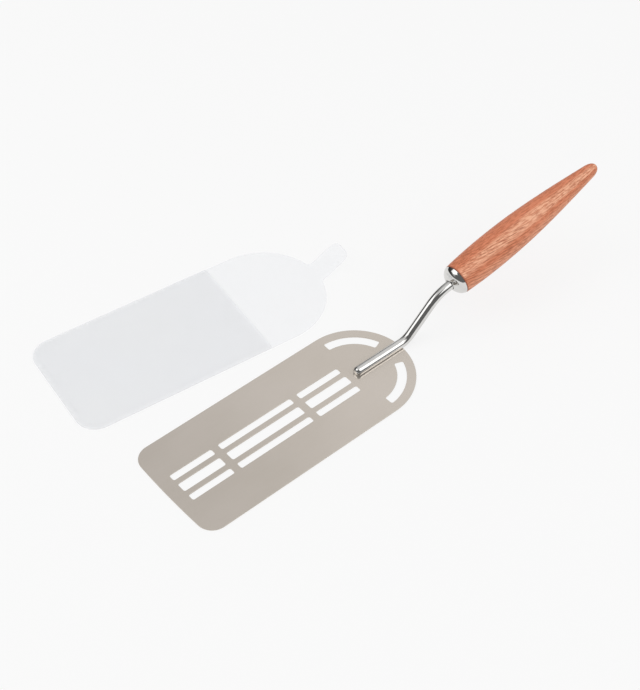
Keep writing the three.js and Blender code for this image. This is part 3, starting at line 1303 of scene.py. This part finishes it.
@dataclass
class Sleeve:
    """Back sheet with a lifted pull tab, and a pocket sheet sealed to it along three edges.

    Both are worked out about the centre of the sleeve's round rear, with +X towards the tab, and then
    laid beside the blade that they fit.
    """

    blade: Blade
    gap: float = 10.5 * MM
    shift: float = -0.9 * MM
    turn: float = -7.3
    side_margin: float = 4 * MM
    front_margin: float = 5.2 * MM
    front_corner: float = 14 * MM
    thickness: float = 0.5 * MM
    pocket_depth: float = 131 * MM
    clearance: float = 0.5 * MM
    side_room: float = 0.3 * MM
    seam: float = 2.4 * MM
    tab_width: float = 17 * MM
    tab_corner: float = 6 * MM
    tab_fillet: float = 3 * MM
    tab_length: float = 25.5 * MM
    tab_lift: float = 30.0
    tab_bend: float = 12 * MM
    tab_start: float = 1.5 * MM
    sag: float = 0.2 * MM
    edge_ease: float = 0.12 * MM
    crease: float = 50.0
    corner_steps: int = 10
    side_steps: int = 12
    rear_steps: int = 30
    tab_steps: int = 8
    back_columns: int = 12
    slope_steps: int = 6
    pocket_steps: int = 20
    pocket_columns: int = 16

    @property
    def half(self) -> float:
        """Half of the width, which is the radius of the round rear."""
        return self.blade.width / 2 + self.side_margin

    @property
    def front(self) -> float:
        """Where the front edge is."""
        return -self.blade.straight - self.front_margin

    @property
    def straight(self) -> float:
        """Where the straight sides start, behind the front corners."""
        return self.front + self.front_corner

    @property
    def slope(self) -> float:
        """Width of the slope from the seam to the pocket's panel."""
        return self.side_margin - self.seam - self.side_room

    @property
    def place(self) -> Matrix:
        """Where the sleeve lies, beside the blade."""
        origin = Vector((self.shift, self.blade.width / 2 + self.gap + self.half, 0.0))
        return Matrix.Translation(origin) @ Matrix.Rotation(math.radians(self.turn), 4, "Z")

    def edge(self, margin: float) -> List[Vector]:
        """A front corner, drawn in by a margin, as x and half width.

        Args:
            margin: How far it is drawn in.

        Returns:
            Its points, from the front edge to the side.
        """
        centre = Vector((self.straight, self.half - self.front_corner))
        return arc(centre, self.front_corner - margin, 180, 90, self.corner_steps)

    def tab_shape(self) -> Tuple[float, float, float]:
        """The tab in side view.

        Returns:
            Where its bend ends and where the tab ends, in plan, and the bend's mean radius.
        """
        lift = math.radians(self.tab_lift)
        radius = self.tab_bend + self.thickness / 2
        bend_end = self.half - self.tab_start + radius * math.sin(lift)
        straight = self.tab_length - lift * self.tab_bend
        return bend_end, bend_end + straight * math.cos(lift), radius

    def tab_height(self, x: float) -> float:
        """Height of the back sheet's middle surface over its flat part.

        Args:
            x: A place along the sleeve, in plan.

        Returns:
            The height, 0 before the bend.
        """
        start = self.half - self.tab_start
        bend_end, _, radius = self.tab_shape()
        if x <= start:
            return 0.0
        lift = math.radians(self.tab_lift)
        angle = math.asin(min((x - start) / radius, math.sin(lift)))
        return radius * (1 - math.cos(angle)) + max(x - bend_end, 0.0) * math.tan(lift)

    def back_stations(self) -> List[Vector]:
        """The back sheet's outline in plan.

        Returns:
            Points of x and half width, from the front edge to the tab's end.
        """
        half_tab = self.tab_width / 2
        foot = half_tab + self.tab_fillet
        edge = math.sqrt(self.half**2 - half_tab**2)
        foot_angle = math.degrees(math.asin(foot / self.half))
        _, reach, _ = self.tab_shape()
        tip = Vector((reach - self.tab_corner, half_tab))
        steps = self.tab_steps
        points = self.edge(0.0)
        points += [
            Vector((self.straight * (1 - step / self.side_steps), self.half))
            for step in range(1, self.side_steps)
        ]
        points += arc(Vector((0.0, 0.0)), self.half, 90, foot_angle, self.rear_steps)
        points += bezier([
            points[-1], Vector((edge, half_tab)), Vector((edge + self.tab_fillet, half_tab)),
        ], steps)
        points += [points[-1].lerp(tip, step / steps) for step in range(1, steps + 1)]
        points += bezier([
            points[-1], Vector((reach, half_tab)), Vector((reach, half_tab - self.tab_corner)),
        ], steps)
        return points

    def back_rows(self) -> Rows:
        """The back sheet's middle surface.

        Returns:
            Its rows of points, from the front to the tab's end.
        """
        shares = [step / self.back_columns - 1 for step in range(2 * self.back_columns + 1)]
        level = self.thickness / 2
        return [
            [Vector((x, half * share, level + self.tab_height(x))) for share in shares]
            for x, half in self.back_stations()
        ]

    def pocket_level(self, margin: float) -> float:
        """Height of the pocket sheet's middle surface over the ground.

        Args:
            margin: Distance from the sealed edge.

        Returns:
            The height, which rises along the slope.
        """
        share = min(max((margin - self.seam) / self.slope, 0.0), 1.0)
        lift = self.blade.thickness + self.clearance
        return 1.5 * self.thickness + lift * share * share * (3 - 2 * share)

    def panel_level(self, x: float, share: float) -> float:
        """Height of the pocket's panel, which hangs a little towards its open end.

        Args:
            x: A place along the sleeve.
            share: A place across it, from -1 to 1.

        Returns:
            The height over the ground.
        """
        open_share = (x - self.front) / self.pocket_depth
        return self.pocket_level(self.seam + self.slope) - self.sag * open_share * (1 - share * share) ** 2

    def pocket_stations(self, margin: float) -> List[Vector]:
        """The pocket's edge, drawn in by a margin.

        Args:
            margin: How far it is drawn in.

        Returns:
            Points of x and half width, from the front to the mouth.
        """
        side = self.front + self.pocket_depth - self.straight
        steps = self.pocket_steps
        runs = [self.straight + side * step / steps for step in range(1, steps + 1)]
        return self.edge(margin) + [Vector((x, self.half - margin)) for x in runs]

    def pocket_grids(self) -> List[Rows]:
        """The pocket sheet's middle surface.

        Returns:
            Rows of points of the panel with its side seams, and of the front seam.
        """
        margins = [0.0, self.seam / 2, self.seam]
        margins += [
            self.seam + self.slope * step / self.slope_steps for step in range(1, self.slope_steps + 1)
        ]
        shares = [step / self.pocket_columns - 1 for step in range(1, 2 * self.pocket_columns)]
        edges = [self.pocket_stations(margin) for margin in margins]
        panel = []
        for index, (x, half) in enumerate(edges[-1]):
            left = [Vector((*edge[index], self.pocket_level(m))) for edge, m in zip(edges, margins)]
            row = [Vector((p.x, -p.y, p.z)) for p in left]
            row += [Vector((x, half * share, self.panel_level(x, share))) for share in shares]
            panel.append(row + left[::-1])
        flat_half = self.half - self.front_corner
        front = [
            [
                Vector((self.front + m, flat_half * share, self.pocket_level(m)))
                for share in [-1.0, *shares, 1.0]
            ]
            for m in margins
        ]
        return [panel, front]

    def sheet(self, name: str, grids: Sequence[Rows], finish: bpy.types.Material) -> bpy.types.Object:
        """Gives a middle surface its thickness and lays it where the sleeve is.

        Args:
            name: The piece's name.
            grids: Points of the middle surface.
            finish: Its material.

        Returns:
            The finished piece.
        """
        mesh = settle(grids_mesh(name, grids), ALL_SMOOTH)
        mesh = modified(mesh, "SOLIDIFY", thickness=self.thickness, offset=0.0, use_even_offset=True)
        mesh = eased(mesh, self.edge_ease, self.crease)
        mesh.transform(self.place)
        return show(name, mesh, finish)

    def build(self, finish: bpy.types.Material) -> List[bpy.types.Object]:
        """Makes both sheets.

        Args:
            finish: Their material.

        Returns:
            The back sheet and the pocket sheet.
        """
        return [
            self.sheet("back_sheet", [self.back_rows()], finish),
            self.sheet("pocket_sheet", self.pocket_grids(), finish),
        ]

    def dress(self, back: bpy.types.Object, pocket: bpy.types.Object) -> None:
        """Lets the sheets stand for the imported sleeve."""
        stand_for(back, "sleeve_back", Body.SLEEVE)
        stand_for(pocket, "sleeve_pocket", Body.SLEEVE)


@dataclass(frozen=True)
class Softbox:
    """A soft lamp that hangs level above and beside the object."""

    name: str
    place: Tuple[float, float, float]
    length: float
    width: float
    brightness: float
    turn: float = 137.0

    def hang(self) -> None:
        """Puts the lamp in the scene."""
        data = bpy.data.lights.new(self.name, "AREA")
        data.shape = "RECTANGLE"
        data.size, data.size_y = self.length, self.width
        data.energy = self.brightness * math.pi * self.length * self.width
        lamp = bpy.data.objects.new(self.name, data)
        lamp.location = self.place
        lamp.rotation_euler.z = math.radians(self.turn)
        bpy.context.scene.collection.objects.link(lamp)


@dataclass(frozen=True)
class TentPatch:
    """A soft round patch on the tent, about one direction.

    The rim and the core are cosines: of the angle from that direction where the patch starts, and of the
    angle within which it is full.
    """

    azimuth: float
    elevation: float
    rim: float
    core: float

    def share(self, graph: Graph, towards: Value) -> Value:
        """How much of the patch there is at a place on the tent.

        Args:
            graph: The tent cloth's graph.
            towards: Direction of the place.

        Returns:
            A value from 0 to 1.
        """
        nearness = graph.add("ShaderNodeVectorMath", {"operation": "DOT_PRODUCT"}, {
            0: towards, 1: direction(self.azimuth, self.elevation),
        }).out("Value")
        return graph.ease(nearness, self.rim, self.core)


@dataclass
class Studio:
    """Pale floor, white surroundings, two softboxes, a tent for the polish to mirror, and the camera."""

    floor_size: float = 6.0
    floor_drop: float = 0.02 * MM
    floor_tone: Colour = (0.930, 0.930, 0.928)
    floor_glow: float = 0.80
    backdrop: Colour = grey(0.955)
    sky_light: float = 0.77
    tent_radius: float = 2.8
    tent_step: int = 6
    tent_lit_heights: Pair = (0.12, 0.42)
    tent_foot: Colour = grey(0.15)
    tent_cloth: Colour = grey(0.82)
    tent_dim: Colour = grey(0.69)
    tent_dark: Colour = grey(0.03)
    near_patch: TentPatch = TentPatch(-125.0, 15.0, 0.35, 0.62)
    dim_patch: TentPatch = TentPatch(60.0, 58.0, 0.980, 0.998)
    far_patch: TentPatch = TentPatch(110.0, 12.0, 0.42, 1.06)
    softboxes: Tuple[Softbox, ...] = (
        Softbox("right_softbox", (0.759, -1.077, 1.0), 1.82, 0.90, 1.10),
        Softbox("left_softbox", (-1.103, 0.797, 1.0), 1.70, 1.14, 1.10),
    )
    elevation: float = 47.229
    azimuth: float = -40.612
    distance: float = 946.587 * MM
    target: Tuple[float, float, float] = (0.131 * MM, 33.741 * MM, 0.0)
    focal_pixels: float = 1494.57
    clip_start: float = 10 * MM

    @staticmethod
    def seen(graph: Graph) -> Value:
        """Tells what is seen from what only lights.

        Args:
            graph: The graph that asks.

        Returns:
            1 for what the camera sees, straight or through metal and film, and 0 for other light.
        """
        path = graph.add("ShaderNodeLightPath")
        rays = path.out("Is Camera Ray") + path.out("Is Glossy Ray") + path.out("Is Transmission Ray")
        return graph.math("MINIMUM", rays, 1.0)

    def floor(self) -> None:
        """Lays the floor, which looks nearly as white as the backdrop and keeps a faint shadow."""
        half = self.floor_size / 2
        material, graph, _ = new_material("floor_paint")
        paint = graph.add("ShaderNodeBsdfDiffuse", inputs={"Color": self.floor_tone}).out()
        white = graph.add("ShaderNodeEmission", inputs={"Color": self.backdrop, "Strength": 1.0}).out()
        both = graph.add(
            "ShaderNodeMixShader", inputs={0: self.floor_glow * self.seen(graph), 1: paint, 2: white}
        ).out()
        graph.add("ShaderNodeOutputMaterial", inputs={"Surface": both})
        rows = [[Vector((x, y, 0.0)) for x in (-half, half)] for y in (-half, half)]
        floor = show("floor", grids_mesh("floor", [rows]), material)
        floor.location.z = -self.floor_drop

    def surroundings(self) -> None:
        """White world, seen as a plain backdrop."""
        world = bpy.data.worlds.new("surroundings")
        bpy.context.scene.world = world
        world.use_nodes = True
        world.node_tree.nodes.clear()
        graph = Graph(world.node_tree)
        light = graph.add(
            "ShaderNodeBackground", inputs={"Color": grey(1.0), "Strength": self.sky_light}
        ).out()
        plain = graph.add("ShaderNodeBackground", inputs={"Color": self.backdrop, "Strength": 1.0}).out()
        both = graph.add("ShaderNodeMixShader", inputs={0: self.seen(graph), 1: light, 2: plain}).out()
        graph.add("ShaderNodeOutputWorld", inputs={"Surface": both})

    def tent(self) -> None:
        """Domed tent that only reflections see: pale above, dark low down under the camera and across."""
        material, graph, place = new_material("tent_cloth")
        towards = graph.add("ShaderNodeVectorMath", {"operation": "NORMALIZE"}, {0: place}).out()
        _, _, height = graph.parts(towards)
        lit = graph.ease(height, *self.tent_lit_heights)
        lit = lit * (1 - self.near_patch.share(graph, towards))
        cloth = graph.mix(lit, self.tent_foot, self.tent_cloth)
        cloth = graph.mix(self.dim_patch.share(graph, towards), cloth, self.tent_dim)
        cloth = graph.mix(self.far_patch.share(graph, towards), cloth, self.tent_dark)
        glow = graph.add("ShaderNodeEmission", inputs={"Color": cloth, "Strength": 1.0}).out()
        graph.add("ShaderNodeOutputMaterial", inputs={"Surface": glow})
        rows = [
            [self.tent_radius * direction(turn, climb) for turn in range(0, 361, self.tent_step)]
            for climb in range(0, 91, self.tent_step)
        ]
        tent = show("tent", settle(grids_mesh("tent", [rows]), ALL_SMOOTH), material)
        for kind in ("camera", "diffuse", "transmission", "volume_scatter", "shadow"):
            setattr(tent, f"visible_{kind}", False)

    def camera(self) -> None:
        """Stands the camera where the picture was taken from."""
        back = direction(self.azimuth - 90.0, self.elevation)
        data = bpy.data.cameras.new("camera")
        data.sensor_width = SENSOR
        data.lens = self.focal_pixels * SENSOR / max(IMAGE_SIZE)
        data.clip_start = self.clip_start
        camera = bpy.data.objects.new("camera", data)
        camera.location = Vector(self.target) + self.distance * back
        camera.rotation_euler = (-back).to_track_quat("-Z", "Y").to_euler()
        bpy.context.scene.collection.objects.link(camera)
        bpy.context.scene.camera = camera

    def build(self) -> None:
        """Sets up everything that isn't part of the object."""
        bpy.context.scene.view_settings.view_transform = "Standard"
        self.floor()
        self.surroundings()
        self.tent()
        for softbox in self.softboxes:
            softbox.hang()
        self.camera()


def main() -> None:
    """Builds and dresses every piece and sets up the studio."""
    logging.basicConfig(level=logging.INFO, format="%(message)s")
    tilt = math.radians(HANDLE_TILT)
    blade = Blade()
    shank = Shank(blade_rear=blade.width / 2, blade_top=blade.thickness, tilt=tilt)
    grip = Grip(shoulder=shank.shoulder, tilt=tilt, rod_radius=shank.diameter / 2, tang=shank.tang)
    sleeve = Sleeve(blade)

    polished = PolishedSteel().material()
    wood = RedWood(axis_start=tuple(shank.shoulder), tilt=tilt).material()
    blade.dress(blade.build(SatinSteel().material()))
    shank.dress(shank.build(polished))
    grip.dress(*grip.build(polished, wood))
    sleeve.dress(*sleeve.build(FrostedSheet().material()))
    Studio().build()


if __name__ == "__main__":
    main()
